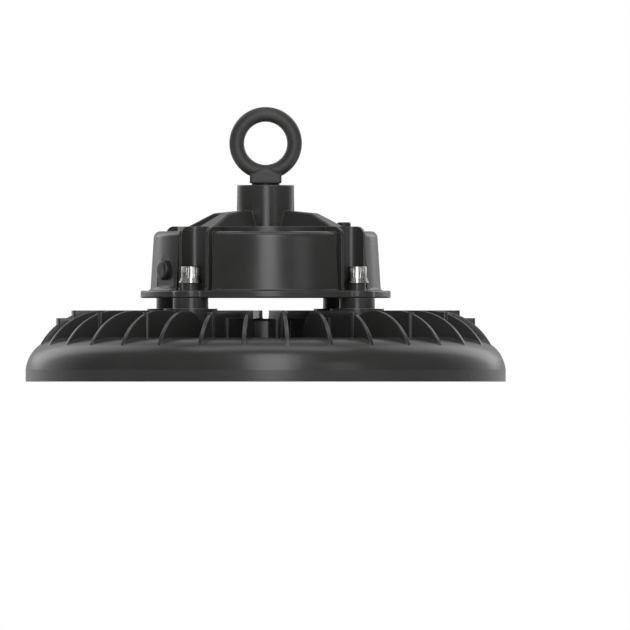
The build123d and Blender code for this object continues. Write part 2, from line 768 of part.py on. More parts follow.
with BuildPart() as cable_gland_nut:
    with BuildSketch(gland_plane(nut_start)):
        RegularPolygon(gland_nut_width / 2, 6, major_radius=False)
    extrude(amount=gland_nut_length)
    with BuildSketch(gland_plane(nut_end)):
        Circle(gland_nut_width / 2)
    extrude(amount=gland_dome_length, taper=gland_dome_taper)
    with BuildSketch(gland_plane(nut_start)):
        Circle(gland_neck_radius + side_gap)
    extrude(amount=gland_neck_length, mode=Mode.SUBTRACT)
    with BuildSketch(gland_plane(nut_start)):
        Circle(gland_bore_radius + side_gap)
    extrude(amount=gland_seal_end - nut_start, mode=Mode.SUBTRACT)
    with BuildSketch(gland_plane(nut_start)):
        Circle(gland_mouth_radius)
    extrude(amount=gland_nut_length + gland_dome_length, mode=Mode.SUBTRACT)
cable_gland_nut.part.label = "cable_gland_nut"
export_step(cable_gland_nut.part, "parts/cable_gland_nut.step")

with BuildPart() as cable_gland_seal:
    with BuildSketch(gland_plane(gland_seal_start)):
        Circle(gland_bore_radius - side_gap)
        Circle(cable_bore_radius, mode=Mode.SUBTRACT)
    extrude(amount=gland_seal_end - gland_seal_start - seat_gap)
cable_gland_seal.part.label = "cable_gland_seal"
export_step(cable_gland_seal.part, "parts/cable_gland_seal.step")

# The base cover, its gasket and its countersunk screws
with BuildPart(turned) as base_cover:
    with BuildSketch(turned.offset(flange_bottom)):
        add(recess_outline.sketch)
        offset(amount=-side_gap)
        with Locations((-lead_place, 0)):
            Circle(sleeve_radius + side_gap, mode=Mode.SUBTRACT)
    extrude(amount=cover_thickness)
    with PolarLocations(cover_screw_place, 4, start_angle=cover_screw_angle):
        with Locations(Location((0, 0, flange_bottom), (180, 0, 0))):
            CounterSinkHole(cover_screw_radius + screw_gap, cover_screw_head_radius + side_gap,
                            cover_thickness, counter_sink_angle=90)
base_cover.part.label = "base_cover"
export_step(base_cover.part, "parts/base_cover.step")

with BuildPart(turned) as base_gasket:
    with BuildSketch(turned.offset(cover_top)):
        add(recess_outline.sketch)
        offset(amount=-side_gap)
        add(cavity_outline.sketch, mode=Mode.SUBTRACT)
        with PolarLocations(cover_screw_place, 4, start_angle=cover_screw_angle):
            Circle(cover_boss_radius)
            Circle(cover_screw_radius + screw_gap, mode=Mode.SUBTRACT)
    extrude(amount=base_gasket_height)
base_gasket.part.label = "base_gasket"
export_step(base_gasket.part, "parts/base_gasket.step")

with BuildPart() as one_cover_screw:
    with BuildSketch(Plane.XZ):
        with BuildLine():
            Polyline((0, 0), (cover_screw_head_radius, 0),
                     (cover_screw_radius, cover_screw_head_radius - cover_screw_radius),
                     (cover_screw_radius, cover_screw_length), (0, cover_screw_length), close=True)
        make_face()
    revolve(axis=Axis.Z)
    with BuildSketch(Plane.XY):
        Rectangle(cross_slot_length, cross_slot_width)
        Rectangle(cross_slot_width, cross_slot_length)
    extrude(amount=cross_slot_depth, mode=Mode.SUBTRACT)
with BuildPart(turned) as base_screws:
    with PolarLocations(cover_screw_place, 4, start_angle=cover_screw_angle):
        with Locations((0, 0, flange_bottom)):
            add(one_cover_screw.part)
base_screws.part.label = "base_screws"
export_step(base_screws.part, "parts/base_screws.step")

# The driver board on four spacers
with BuildPart(turned) as board_spacers:
    with BuildSketch(turned.offset(cover_top)):
        with PolarLocations(spacer_place, 4, start_angle=45):
            RegularPolygon(spacer_radius, 6, major_radius=False)
            Circle(board_screw_radius + side_gap, mode=Mode.SUBTRACT)
    extrude(amount=spacer_height)
board_spacers.part.label = "board_spacers"
export_step(board_spacers.part, "parts/board_spacers.step")

with BuildPart(turned) as driver_board:
    with BuildSketch(turned.offset(board_bottom)):
        Circle(board_radius)
        with PolarLocations(spacer_place, 4, start_angle=45):
            Circle(board_screw_radius + side_gap, mode=Mode.SUBTRACT)
    extrude(amount=board_thickness)
driver_board.part.label = "driver_board"
export_step(driver_board.part, "parts/driver_board.step")

with BuildPart(turned) as board_screws:
    with BuildSketch(turned.offset(board_top)):
        with PolarLocations(spacer_place, 4, start_angle=45):
            Circle(board_screw_head_radius)
    extrude(amount=board_screw_head_height)
    fillet(board_screws.edges().group_by(Axis.Z)[-1], radius=board_screw_head_height / 2)
    with BuildSketch(turned.offset(board_top)):
        with PolarLocations(spacer_place, 4, start_angle=45):
            Circle(board_screw_radius)
    extrude(amount=-board_screw_length)
board_screws.part.label = "board_screws"
export_step(board_screws.part, "parts/board_screws.step")

# What stands on the driver board
with BuildPart(turned) as transformer_core:
    with Locations((*transformer_place, board_top)):
        Box(core_length, core_depth, core_height, align=(Align.CENTER, Align.CENTER, Align.MIN))
    window = core_length / 2 - core_yoke - core_leg
    for side in (-1, 1):
        with Locations((transformer_place[0] + side * (core_leg + window / 2), transformer_place[1],
                        board_top + core_yoke)):
            Box(window, core_depth, core_height - core_yoke * 2,
                align=(Align.CENTER, Align.CENTER, Align.MIN), mode=Mode.SUBTRACT)
transformer_core.part.label = "transformer_core"
export_step(transformer_core.part, "parts/transformer_core.step")

with BuildPart(turned) as transformer_coil:
    with BuildSketch(turned.offset(board_top + core_yoke + seat_gap)):
        with Locations(transformer_place):
            RectangleRounded((core_leg + side_gap + coil_wall) * 2, core_depth + (side_gap + coil_wall) * 2,
                             coil_wall)
            Rectangle((core_leg + side_gap) * 2, core_depth + side_gap * 2, mode=Mode.SUBTRACT)
    extrude(amount=core_height - core_yoke * 2 - seat_gap * 2)
transformer_coil.part.label = "transformer_coil"
export_step(transformer_coil.part, "parts/transformer_coil.step")

with BuildPart(turned) as filter_choke:
    with BuildSketch(turned.offset(board_top)):
        with Locations(choke_place):
            Circle(choke_radius)
            Circle(choke_hole_radius, mode=Mode.SUBTRACT)
    extrude(amount=choke_height)
    fillet(filter_choke.edges().group_by(Axis.Z)[-1], radius=choke_round)
filter_choke.part.label = "filter_choke"
export_step(filter_choke.part, "parts/filter_choke.step")

with BuildPart(turned) as bulk_capacitors:
    with BuildSketch(turned.offset(board_top)):
        with Locations(can_places):
            Circle(can_radius)
    extrude(amount=can_height)
    fillet(bulk_capacitors.edges().group_by(Axis.Z)[-1], radius=can_round)
bulk_capacitors.part.label = "bulk_capacitors"
export_step(bulk_capacitors.part, "parts/bulk_capacitors.step")

with BuildPart(turned) as film_capacitor:
    with Locations((*film_place, board_top)):
        Box(film_length, film_depth, film_height, align=(Align.CENTER, Align.CENTER, Align.MIN))
    fillet(film_capacitor.edges().filter_by(Axis.Z), radius=can_round)
film_capacitor.part.label = "film_capacitor"
export_step(film_capacitor.part, "parts/film_capacitor.step")

with BuildPart(turned) as terminal_block:
    with Locations((*block_place, board_top)):
        Box(block_length, block_depth, block_height, align=(Align.CENTER, Align.CENTER, Align.MIN))
    with BuildSketch(turned.offset(board_top + block_height)):
        with Locations(block_place):
            with GridLocations(block_hole_spacing, 0, 3, 1):
                Circle(block_hole_radius)
    extrude(amount=-block_hole_depth, mode=Mode.SUBTRACT)
terminal_block.part.label = "terminal_block"
export_step(terminal_block.part, "parts/terminal_block.step")

with BuildPart(turned) as heat_spreader:
    with Locations((*spreader_place, board_top)):
        Box(spreader_length, spreader_thickness, spreader_height,
            align=(Align.CENTER, Align.CENTER, Align.MIN))
heat_spreader.part.label = "heat_spreader"
export_step(heat_spreader.part, "parts/heat_spreader.step")

with BuildPart(turned) as power_transistors:
    with Locations((spreader_place[0], spreader_place[1] + spreader_thickness / 2, board_top)):
        with GridLocations(transistor_spacing, 0, 2, 1):
            Box(transistor_width, transistor_thickness, transistor_height,
                align=(Align.CENTER, Align.MIN, Align.MIN))
power_transistors.part.label = "power_transistors"
export_step(power_transistors.part, "parts/power_transistors.step")

# The sealed way of the two output leads, from the housing down into the light cavity
with BuildPart(turned) as lead_sleeve:
    with BuildSketch(turned.offset(plate_bottom)):
        with Locations((-lead_place, 0)):
            Circle(sleeve_radius)
    extrude(amount=cover_top - plate_bottom)
    with BuildSketch(turned.offset(cover_top)):
        with Locations((-lead_place, 0)):
            Circle(sleeve_collar_radius)
    extrude(amount=sleeve_collar_height)
    with BuildSketch(turned.offset(plate_bottom)):
        with Locations((-lead_place, 0)):
            Circle(sleeve_bore_radius)
    extrude(amount=cover_top + sleeve_collar_height - plate_bottom, mode=Mode.SUBTRACT)
lead_sleeve.part.label = "lead_sleeve"
export_step(lead_sleeve.part, "parts/lead_sleeve.step")

with BuildPart(turned) as output_leads:
    with BuildSketch(turned.offset(led_board_top)):
        with Locations((-lead_place, 0)):
            with GridLocations(0, lead_spacing, 1, 2):
                Circle(lead_radius)
    extrude(amount=board_bottom - led_board_top)
output_leads.part.label = "output_leads"
export_step(output_leads.part, "parts/output_leads.step")

# The light engine under the plate: thermal pad, board, chips and the board's screws
with BuildPart(turned) as thermal_pad:
    with BuildSketch(turned.offset(led_board_top)):
        Circle(led_board_radius)
        with Locations((-lead_place, 0)):
            Circle(sleeve_bore_radius, mode=Mode.SUBTRACT)
        with PolarLocations(led_screw_place, led_screw_count):
            Circle(led_screw_radius + screw_gap, mode=Mode.SUBTRACT)
    extrude(amount=pad_thickness)
thermal_pad.part.label = "thermal_pad"
export_step(thermal_pad.part, "parts/thermal_pad.step")

with BuildPart(turned) as led_board:
    with BuildSketch(turned.offset(led_board_bottom)):
        Circle(led_board_radius)
        with PolarLocations(led_screw_place, led_screw_count):
            Circle(led_screw_radius + screw_gap, mode=Mode.SUBTRACT)
    extrude(amount=led_board_thickness)
led_board.part.label = "led_board"
export_step(led_board.part, "parts/led_board.step")

with BuildPart(turned) as led_chips:
    with BuildSketch(turned.offset(chip_bottom)):
        for radius, count in rings:
            with PolarLocations(radius, count, start_angle=180 / count):
                Rectangle(chip_width, chip_width)
    extrude(amount=chip_height)
led_chips.part.label = "led_chips"
export_step(led_chips.part, "parts/led_chips.step")

with BuildPart(turned) as led_board_screws:
    with BuildSketch(turned.offset(led_board_bottom)):
        with PolarLocations(led_screw_place, led_screw_count):
            Circle(led_screw_head_radius)
    extrude(amount=-led_screw_head_height)
    fillet(led_board_screws.edges().group_by(Axis.Z)[0], radius=led_screw_head_height / 2)
    with BuildSketch(turned.offset(led_board_bottom)):
        with PolarLocations(led_screw_place, led_screw_count):
            Circle(led_screw_radius)
    extrude(amount=led_screw_length)
led_board_screws.part.label = "led_board_screws"
export_step(led_board_screws.part, "parts/led_board_screws.step")

# The lens plate: a flat rim, a raised middle and one round lens below each chip
dome_ball = (dome_radius ** 2 + dome_height ** 2) / (2 * dome_height)
with BuildPart() as dome:
    with BuildSketch(Plane.XZ):
        with BuildLine():
            Polyline((0, lens_bottom - dome_height), (0, lens_bottom + lens_thickness / 2),
                     (dome_radius, lens_bottom + lens_thickness / 2), (dome_radius, lens_bottom))
            RadiusArc((dome_radius, lens_bottom), (0, lens_bottom - dome_height), dome_ball)
        make_face()
    revolve(axis=Axis.Z)
with BuildPart(turned) as lens_plate:
    with BuildSketch(Plane.XZ):
        with BuildLine():
            Polyline((0, lens_top), (lens_wall_radius - lens_wall_slope, lens_top),
                     (lens_wall_radius, lens_flange_top),
                     (lens_edge, lens_flange_top), (lens_edge, lens_flange_bottom),
                     (lens_wall_radius - lens_thickness / 2, lens_flange_bottom),
                     (lens_wall_radius - lens_wall_slope - lens_thickness / 2, lens_bottom), (0, lens_bottom),
                     close=True)
        make_face()
    revolve(axis=Axis.Z)
    for radius, count in rings:
        with PolarLocations(radius, count, start_angle=180 / count):
            add(dome.part)
    with BuildSketch(turned.offset(lens_flange_bottom)):
        with PolarLocations(lens_screw_place, lens_screw_count):
            Circle(lens_screw_radius + screw_gap)
    extrude(amount=lens_thickness, mode=Mode.SUBTRACT)
lens_plate.part.label = "lens_plate"
export_step(lens_plate.part, "parts/lens_plate.step")

with BuildPart(turned) as lens_gasket:
    with BuildSketch(turned.offset(lens_flange_top)):
        Circle(gasket_inner + gasket_width)
        Circle(gasket_inner, mode=Mode.SUBTRACT)
    extrude(amount=gasket_groove_depth + seat_gap)
lens_gasket.part.label = "lens_gasket"
export_step(lens_gasket.part, "parts/lens_gasket.step")

with BuildPart(turned) as lens_ring:
    with BuildSketch(turned.offset(lens_ring_bottom)):
        Circle(lens_edge)
        Circle(lens_ring_inner, mode=Mode.SUBTRACT)
        with PolarLocations(lens_screw_place, lens_screw_count):
            Circle(lens_screw_radius + screw_gap, mode=Mode.SUBTRACT)
    extrude(amount=lens_ring_thickness)
lens_ring.part.label = "lens_ring"
export_step(lens_ring.part, "parts/lens_ring.step")

with BuildPart(turned) as lens_screws:
    with BuildSketch(turned.offset(lens_ring_bottom)):
        with PolarLocations(lens_screw_place, lens_screw_count):
            Circle(lens_screw_head_radius)
    extrude(amount=-lens_screw_head_height)
    fillet(lens_screws.edges().group_by(Axis.Z)[0], radius=lens_screw_head_height / 2)
    with BuildSketch(turned.offset(lens_ring_bottom)):
        with PolarLocations(lens_screw_place, lens_screw_count):
            Circle(lens_screw_radius)
    extrude(amount=lens_screw_length)
lens_screws.part.label = "lens_screws"
export_step(lens_screws.part, "parts/lens_screws.step")
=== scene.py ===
from math import cos, pi, radians, sin

import bmesh
import bpy
from bpy.props import FloatProperty, FloatVectorProperty, IntProperty, PointerProperty
from bpy.types import Operator, Panel, PropertyGroup
from mathutils import Matrix, Vector


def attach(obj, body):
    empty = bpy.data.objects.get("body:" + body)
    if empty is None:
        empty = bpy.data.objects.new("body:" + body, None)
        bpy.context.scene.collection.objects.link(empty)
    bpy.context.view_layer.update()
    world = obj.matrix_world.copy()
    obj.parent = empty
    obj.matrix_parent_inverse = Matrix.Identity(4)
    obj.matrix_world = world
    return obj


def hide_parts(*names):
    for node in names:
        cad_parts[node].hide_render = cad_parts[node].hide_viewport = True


bl_info = {
    "name": "High Bay Light",
    "version": (1, 0, 0),
    "blender": (4, 5, 0),
    "location": "View3D > Sidebar > High Bay",
    "description": "Dresses a round high bay light with finishes and small parts, and lights it in a studio",
    "category": "Object",
}

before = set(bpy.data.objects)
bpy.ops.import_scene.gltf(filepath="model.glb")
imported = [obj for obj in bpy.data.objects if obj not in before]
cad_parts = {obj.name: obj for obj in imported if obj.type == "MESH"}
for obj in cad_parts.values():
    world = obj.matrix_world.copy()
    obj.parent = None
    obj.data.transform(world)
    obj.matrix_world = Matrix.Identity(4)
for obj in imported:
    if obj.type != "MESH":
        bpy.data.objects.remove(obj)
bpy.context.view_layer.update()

BODY = "root"
FINS = 32
TURN = pi / FINS                 # Half a fin pitch, by which the castings are turned under the lifting ring
WELLS = 4                        # Screw wells round the driver housing
AIM = Vector((0.0, 0.0, 0.05))   # The point that every lamp faces
TOUCH = 1e-6                     # A point this near to a plane counts as on it
FACING = 0.9                     # A face faces an axis when its normal has this share along it


# Sizes and colours that a user may change

def colour(label, about, value):
    """A colour property with its default."""
    return FloatVectorProperty(name=label, description=about, subtype="COLOR", size=3, min=0.0, max=1.0,
                               default=value)


def length(label, about, value):
    """A length property in metres with its default."""
    return FloatProperty(name=label, description=about, subtype="DISTANCE", unit="LENGTH", min=0.0,
                         precision=5, default=value)


def share(label, about, value):
    """A property between nothing and one with its default."""
    return FloatProperty(name=label, description=about, subtype="FACTOR", min=0.0, max=1.0, default=value)


class CastingSettings(PropertyGroup):
    """Powder coat on the two castings."""
    paint: colour("Powder coat", "Colour of the powder coat", (0.029, 0.029, 0.0282))
    # Lighter colour along edges: partly rubbed wear, partly a painted highlight.
    worn_and_highlight: colour("Worn edge", "Colour of the coat where an edge is rubbed", (0.13, 0.13, 0.127))
    roughness: share("Roughness", "How dull the coat is", 0.25)
    grain: length("Grain", "Width of the dimples in the coat", 0.0007)
    grain_depth: length("Grain depth", "Depth of the dimples in the coat", 0.00002)
    edge: length("Edge round", "Radius that the coat gives to a sharp edge", 0.0004)


class RingSettings(PropertyGroup):
    """Paint and forging line of the lifting ring."""
    paint: colour("Ring paint", "Colour of the paint on the ring", (0.03, 0.03, 0.029))
    roughness: share("Roughness", "How dull the ring's paint is", 0.46)
    line_width: length("Forging line", "Half width of the line that the forging die leaves", 0.0004)
    line_height: length("Forging line height", "Height of the forging line", 0.00006)


class ScrewSettings(PropertyGroup):
    """Zinc plated screws of the driver housing."""
    zinc: colour("Zinc", "Colour of the zinc plating", (0.74, 0.73, 0.7))
    roughness: share("Roughness", "How dull the plating is", 0.13)
    oxide: colour("Black oxide", "Colour of the small dark parts under the lifting ring", (0.02, 0.02, 0.02))
    circle: length("Bolt circle", "Radius of the circle on which the screws stand", 0.0616)
    head_foot: length("Head underside", "Height of the underside of the heads", 0.0539)
    head_radius: length("Head radius", "Radius of a screw's head", 0.005)
    head_height: length("Head height", "Height of a screw's head", 0.006)
    shank_radius: length("Shank radius", "Radius of a screw's shank", 0.003)
    shank_length: length("Shank length", "Length of a screw below its head", 0.025)
    key_width: length("Key width", "Width across flats of the hexagon socket", 0.005)
    key_depth: length("Key depth", "Depth of the hexagon socket", 0.0032)
    head_round: length("Head round", "Rounding of a head's upper edge", 0.00045)
    ridges: IntProperty(name="Knurl ridges", description="Ridges round a head", min=8, max=60, default=30)
    groove: length("Knurl depth", "Depth of the grooves round a head", 0.00008)
    groove_wall: length("Knurl wall", "Width of the slope on each side of a groove", 0.00012)


class PlugSettings(PropertyGroup):
    """Vent plug, blanking plug and seals."""
    plastic: colour("Plug plastic", "Colour of the plugs", (0.02, 0.02, 0.02))
    roughness: share("Roughness", "How dull the plugs are", 0.38)
    rubber: colour("Rubber", "Colour of the black seals", (0.014, 0.014, 0.014))
    silicone: colour("Silicone", "Colour of the grey gaskets and the thermal pad", (0.3, 0.31, 0.33))


class GlandSettings(PropertyGroup):
    """Cable gland with its cap nut."""
    plastic: colour("Gland plastic", "Colour of the gland", (0.02, 0.02, 0.02))
    roughness: share("Roughness", "How dull the gland is", 0.48)
    reach: length("Reach", "Distance from the light's axis to the foot of the nut", 0.0659)
    height: length("Height", "Height of the gland's axis", 0.0649)
    across: length("Across flats", "Width of the nut across its flats", 0.019)
    nut_length: length("Nut length", "Length of the six sided part", 0.012)
    dome_length: length("Dome length", "Length of the round end", 0.004)
    neck_radius: length("Thread radius", "Radius of the bore over the neck", 0.0077)
    neck_length: length("Thread length", "Length of the bore over the neck", 0.008)
    seal_radius: length("Seal bore", "Radius of the bore round the seal", 0.0055)
    seal_length: length("Seal bore length", "Length of the bore round the seal", 0.013)
    mouth_radius: length("Mouth", "Radius of the hole in the end", 0.0046)
    corner: length("Corner round", "Width of the rounding along a corner", 0.0016)


class ChipSettings(PropertyGroup):
    """Light chips and the board that carries them."""
    phosphor: colour("Phosphor", "Colour of the light giving square", (0.86, 0.62, 0.1))
    case: colour("Case", "Colour of a chip's case", (0.8, 0.8, 0.78))
    board: colour("Board", "Colour of the board's mask", (0.78, 0.78, 0.76))
    conductor: colour("Conductor", "Colour of the board over its conductor rings", (0.5, 0.52, 0.5))
    width: length("Chip width", "Width of a chip", 0.0035)
    height: length("Chip height", "Height of a chip", 0.0007)
    top: length("Chip top", "Height of the face with which a chip sits on the board", 0.0147)
    border: length("Border", "Width of the case round the light giving square", 0.00045)
    recess: length("Recess", "Depth of the light giving square in its case", 0.00015)
    first_ring: length("First ring", "Radius of the inner ring of chips", 0.024)
    pitch: length("Ring pitch", "Distance from one ring of chips to the next", 0.022)
    rings: IntProperty(name="Rings", description="Rings of chips", min=1, max=4, default=4)
    count: IntProperty(name="Chips", description="Chips in the first ring, and how many each next ring adds",
                       min=1, default=8)


class LensSettings(PropertyGroup):
    """Clear moulded lens plate."""
    tint: colour("Tint", "Colour of the clear plastic", (0.95, 0.97, 0.97))
    roughness: share("Roughness", "How dull the lens plate is", 0.08)


class DriverSettings(PropertyGroup):
    """Parts of the driver inside the housing."""
    mask: colour("Mask", "Colour of the green board", (0.012, 0.11, 0.035))
    mask_light: colour("Light mask", "Colour of the board's lighter fields", (0.018, 0.13, 0.045))
    track: colour("Track", "Colour of the board over its tracks", (0.05, 0.24, 0.09))
    brass: colour("Brass", "Colour of the board's spacers", (0.6, 0.42, 0.16))
    ferrite: colour("Ferrite", "Colour of the transformer's core", (0.035, 0.035, 0.04))
    tape: colour("Coil tape", "Colour of the tape round the transformer's coil", (0.75, 0.5, 0.08))
    wire: colour("Wire", "Colour of the choke's enamelled wire", (0.72, 0.3, 0.13))
    can: colour("Can sleeve", "Colour of the round capacitors", (0.012, 0.012, 0.02))
    film: colour("Film box", "Colour of the square capacitor", (0.45, 0.04, 0.03))
    block: colour("Terminal block", "Colour of the terminal block", (0.03, 0.16, 0.06))
    transistor: colour("Transistor", "Colour of the power transistors", (0.02, 0.02, 0.022))
    lead: colour("Lead skin", "Colour of the output leads", (0.62, 0.62, 0.6))


class SheetSettings(PropertyGroup):
    """Parts of rolled sheet."""
    aluminium: colour("Aluminium", "Colour of the rolled sheet", (0.66, 0.66, 0.67))


class StudioSettings(PropertyGroup):
    """Floor, background, lamps and camera."""
    floor: colour("Floor", "Colour of the floor", (0.74, 0.74, 0.74))
    fill: FloatProperty(name="Fill", description="Brightness of the room on dull surfaces", min=0.0,
                        default=0.55)
    dark: share("Dark front", "Brightness of the front of the room in a reflection", 0.07)
    glow: share("Backdrop sides", "Brightness of the sides of the backdrop in a reflection", 0.85)
    backdrop: share("Backdrop", "Brightness of the middle of the backdrop in a reflection", 0.4)
    top: FloatProperty(name="Top lamp", description="Power of the lamp overhead", subtype="POWER", min=0.0,
                       default=2.2)
    front: FloatProperty(name="Front lamp", description="Power of the tall lamp beside the camera",
                         subtype="POWER", min=0.0, default=5.6)
    sides: FloatProperty(name="Back lamps", description="Power of each long lamp behind the light's sides",
                         subtype="POWER", min=0.0, default=1.8)
    right: FloatProperty(name="Right lamp", description="Power of the lamp at the right of the camera",
                         subtype="POWER", min=0.0, default=0.7)
    distance: length("Camera distance", "Distance of the camera from the light's axis", 1.2)
    frame_width: length("Picture width", "Width of what the camera sees", 0.328)
    centre_x: FloatProperty(name="Picture centre X", description="Sideways place of the picture's centre",
                            subtype="DISTANCE", unit="LENGTH", default=0.0257)
    centre_z: FloatProperty(name="Picture centre Z", description="Height of the picture's centre",
                            subtype="DISTANCE", unit="LENGTH", default=0.0347)


# Shaders

class Value:
    """The output of a node, so that shader maths reads as a plain expression."""

    def __init__(self, shading, socket):
        self.shading = shading
        self.socket = socket

    def __add__(self, other):
        return self.shading.maths("ADD", self, other)

    def __sub__(self, other):
        return self.shading.maths("SUBTRACT", self, other)

    def __rsub__(self, other):
        return self.shading.maths("SUBTRACT", other, self)

    def __mul__(self, other):
        return self.shading.maths("MULTIPLY", self, other)

    __radd__ = __add__
    __rmul__ = __mul__

    def out(self, name):
        """Another output of the same node."""
        return Value(self.shading, self.socket.node.outputs[name])


class Shading:
    """A node tree that starts empty and grows node by node."""

    def __init__(self, tree):
        self.tree = tree
        self.tree.nodes.clear()

    def node(self, kind, settings, sockets, output=None):
        """Adds a node, its settings first and then its sockets' values or links, and gives one output."""
        made = self.tree.nodes.new(kind)
        for key, value in settings.items():
            if key == "stops":
                self.set_stops(made.color_ramp.elements, value)
            else:
                setattr(made, key, value)
        for key, value in sockets.items():
            if isinstance(value, Value):
                self.tree.links.new(value.socket, made.inputs[key])
            else:
                made.inputs[key].default_value = value
        return None if output is None else Value(self, made.outputs[output])

    def set_stops(self, ramp, stops):
        """Gives a grey ramp its places and shades."""
        while len(ramp) < len(stops):
            ramp.new(1.0)
        for element, (place, shade) in zip(ramp, stops):
            element.position = place
            element.color = (shade, shade, shade, 1.0)

    def maths(self, operation, first, second):
        """A Math node on two values."""
        return self.node("ShaderNodeMath", {"operation": operation}, {0: first, 1: second}, 0)


class Finish(Shading):
    """A material whose shader is worked out from its place on the object."""

    def __init__(self, name):
        self.material = bpy.data.materials.new(name)
        self.material.use_nodes = True
        super().__init__(self.material.node_tree)
        self.place = self.node("ShaderNodeTexCoord", {}, {}, "Object")

    def noise(self, size, detail=2.0):
        """Cloudy noise between nothing and one, with features of the given size in metres."""
        sockets = {"Vector": self.place, "Scale": 1 / size, "Detail": detail}
        return self.node("ShaderNodeTexNoise", {}, sockets, "Fac")

    def mix(self, mask, first, second):
        """A colour between two colours. Its sockets share their names, so they go by number."""
        first, second = (end if isinstance(end, Value) else (*end, 1.0) for end in (first, second))
        return self.node("ShaderNodeMix", {"data_type": "RGBA"}, {0: mask, 6: first, 7: second}, 2)

    def tones(self, mask, colour, dark, light=1.0):
        """One colour, made darker and lighter by a mask."""
        colour = Vector(colour)
        return self.mix(mask, colour * dark, colour * light)

    def around(self, middle, swing, mask):
        """A value that swings about its middle by a mask."""
        return middle - swing / 2 + mask * swing

    def between(self, value, low, high):
        """A value stretched from low and high to nothing and one, and held there."""
        return self.node("ShaderNodeMapRange", {"clamp": True},
                         {"Value": value, "From Min": low, "From Max": high}, "Result")

    def radius(self):
        """Distance from the light's axis."""
        flat = self.node("ShaderNodeVectorMath", {"operation": "MULTIPLY"},
                         {0: self.place, 1: (1.0, 1.0, 0.0)}, "Vector")
        return self.node("ShaderNodeVectorMath", {"operation": "LENGTH"}, {0: flat}, "Value")

    def edge_normal(self, radius):
        """The surface's normal, turned smoothly round every sharp edge."""
        return self.node("ShaderNodeBevel", {"samples": 6}, {"Radius": radius}, "Normal")

    def bump(self, height, depth, normal):
        """A normal with a relief in it."""
        sockets = {"Height": height, "Distance": depth, "Strength": 1.0, "Normal": normal}
        return self.node("ShaderNodeBump", {}, sockets, "Normal")

    def surface(self, sockets):
        """Makes the shader from the values or links of its sockets, and gives back the material."""
        shader = self.node("ShaderNodeBsdfPrincipled", {}, sockets, "BSDF")
        self.node("ShaderNodeOutputMaterial", {}, {"Surface": shader})
        return self.material


def powder_coat(settings):
    """Satin black powder coat: fine dimples, edges that catch the light, and a lighter colour along them
    that is partly wear and partly a painted highlight.
    """
    finish = Finish("powder_coat")
    grain = finish.noise(settings.grain, detail=3.0)
    cloud = finish.noise(size=0.03, detail=4.0)
    rounded = finish.edge_normal(settings.edge)
    flat = finish.node("ShaderNodeNewGeometry", {}, {}, "True Normal")
    turn = finish.node("ShaderNodeVectorMath", {"operation": "DOT_PRODUCT"}, {0: rounded, 1: flat}, "Value")
    # Lighter colour along sharp edges: partly wear, partly a painted highlight for the light lines that
    # edges catch.
    edge = finish.between(turn, low=0.995, high=0.9)
    wear_and_highlight = edge * finish.around(middle=0.7, swing=0.6, mask=cloud)
    coat = finish.tones(cloud, settings.paint, dark=0.8, light=1.25)
    dull = finish.around(settings.roughness, swing=0.08, mask=cloud)
    return finish.surface({
        "Base Color": finish.mix(wear_and_highlight, coat, settings.worn_and_highlight),
        "Roughness": dull + finish.around(middle=0.0, swing=0.04, mask=grain),
        "Normal": finish.bump(grain, settings.grain_depth, rounded),
    })


def ring_paint(settings):
    """Paint on the forged ring, with the line that the die leaves round its middle."""
    finish = Finish("ring_paint")
    grain = finish.noise(size=0.0011, detail=3.0)
    cloud = finish.noise(size=0.02, detail=3.0)
    across = finish.node("ShaderNodeSeparateXYZ", {}, {"Vector": finish.place}, "Y")
    off_line = finish.maths("ABSOLUTE", across, 0.0)
    line = 1 - finish.between(off_line, low=settings.line_width * 0.4, high=settings.line_width)
    grain_height = 0.00003
    relief = grain * grain_height + line * settings.line_height
    return finish.surface({
        "Base Color": finish.tones(cloud, settings.paint, dark=0.8, light=1.3),
        "Roughness": finish.around(settings.roughness, swing=0.08, mask=cloud),
        "Normal": finish.bump(relief, depth=1.0, normal=finish.edge_normal(radius=0.0004)),
    })


def zinc(settings):
    """Bright zinc plating with a faint cloud and fine turning lines."""
    finish = Finish("zinc")
    cloud = finish.noise(size=0.004, detail=4.0)
    grain = finish.noise(size=0.0004)
    return finish.surface({
        "Base Color": finish.tones(cloud, settings.zinc, dark=0.86),
        "Metallic": 1.0,
        "Roughness": finish.around(settings.roughness, swing=0.12, mask=cloud),
        "Normal": finish.bump(grain, depth=0.00001, normal=finish.edge_normal(radius=0.00015)),
    })


def moulded(name, colour, roughness, grain=0.0006, relief=0.00003, edge=0.0003, metallic=0.0):
    """A moulded or coated surface: slight colour and gloss changes, a fine texture and soft edges."""
    finish = Finish(name)
    fine = finish.noise(grain, detail=3.0)
    cloud = finish.noise(size=0.012, detail=3.0)
    return finish.surface({
        "Base Color": finish.tones(cloud, colour, dark=0.88, light=1.1),
        "Metallic": metallic,
        "Roughness": finish.around(roughness, swing=0.1, mask=cloud),
        "Normal": finish.bump(fine, relief, finish.edge_normal(edge)),
    })


def brushed_sheet(name, colour):
    """Rolled sheet metal, with fine lines along X."""
    finish = Finish(name)
    stretch = (8.0, 900.0, 900.0)
    stretched = finish.node("ShaderNodeMapping", {}, {"Vector": finish.place, "Scale": stretch}, "Vector")
    lines = finish.node("ShaderNodeTexNoise", {}, {"Vector": stretched, "Scale": 2.0, "Detail": 3.0}, "Fac")
    return finish.surface({
        "Base Color": finish.tones(lines, colour, dark=0.85),
        "Metallic": 1.0,
        "Roughness": finish.around(middle=0.38, swing=0.12, mask=lines),
        "Normal": finish.bump(lines, depth=0.00001, normal=finish.edge_normal(radius=0.0002)),
    })


